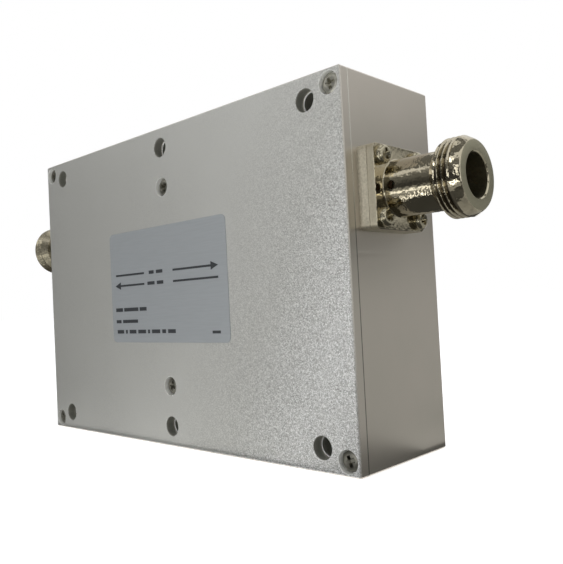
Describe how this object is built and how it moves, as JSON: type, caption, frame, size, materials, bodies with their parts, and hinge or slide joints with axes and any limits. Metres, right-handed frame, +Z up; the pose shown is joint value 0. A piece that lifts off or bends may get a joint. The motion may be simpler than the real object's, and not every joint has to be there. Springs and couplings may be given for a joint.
{
  "type": "rf circulator",
  "caption": "Flat aluminium box with a ferrite circulator of the isolator kind inside, a screwed front cover and a threaded coaxial connector on each end.",
  "frame": {"origin": "middle of the base, on the floor", "axes": "+X along the housing to the right-hand port, +Y from the labelled cover to the mounting face, +Z up"},
  "size_m": [0.1636, 0.0332, 0.0828],
  "materials": {
    "blasted_aluminium": "milled and bead blasted, bare",
    "cover_aluminium": "milled and bead blasted, bare, finely sparkling",
    "screw_steel": "nickel-plated steel, cross recess",
    "label_foil": "satin printed foil",
    "matt_nickel": "brass, matt nickel plate",
    "bright_nickel": "brass, bright nickel plate",
    "fluoropolymer": "white fluoropolymer",
    "gold_plate": "brass, gold plate",
    "plated_steel": "silver-plated steel",
    "magnet_ceramic": "barium ferrite magnet",
    "ferrite_ceramic": "ground garnet ferrite",
    "copper": "copper",
    "capacitor_ceramic": "chip ceramic with metal ends",
    "alumina": "white alumina"
  },
  "bodies": {
    "root": {"connector_contacts": "gold_plate", "connector_insulators": "fluoropolymer", "connector_screws": "screw_steel", "connector_shells": "bright_nickel", "connector_spacers": "matt_nickel", "cover_screws": "screw_steel", "front_cover": "cover_aluminium", "housing": "blasted_aluminium", "interconnect_strap": "copper", "left_centre_conductor": "copper", "left_front_ferrite": "ferrite_ceramic", "left_front_magnet": "magnet_ceramic", "left_front_pole_plate": "plated_steel", "left_front_return_plate": "plated_steel", "left_load_element": "alumina", "left_load_flange": "copper", "left_load_lead": "copper", "left_rear_ferrite": "ferrite_ceramic", "left_rear_magnet": "magnet_ceramic", "left_rear_pole_plate": "plated_steel", "left_rear_return_plate": "plated_steel", "left_tuning_capacitors": "capacitor_ceramic", "rating_label": "label_foil", "right_centre_conductor": "copper", "right_front_ferrite": "ferrite_ceramic", "right_front_magnet": "magnet_ceramic", "right_front_pole_plate": "plated_steel", "right_front_return_plate": "plated_steel", "right_load_element": "alumina", "right_load_flange": "copper", "right_load_lead": "copper", "right_rear_ferrite": "ferrite_ceramic", "right_rear_magnet": "magnet_ceramic", "right_rear_pole_plate": "plated_steel", "right_rear_return_plate": "plated_steel", "right_tuning_capacitors": "capacitor_ceramic", "strap_support": "fluoropolymer"}
  },
  "joints": []
}
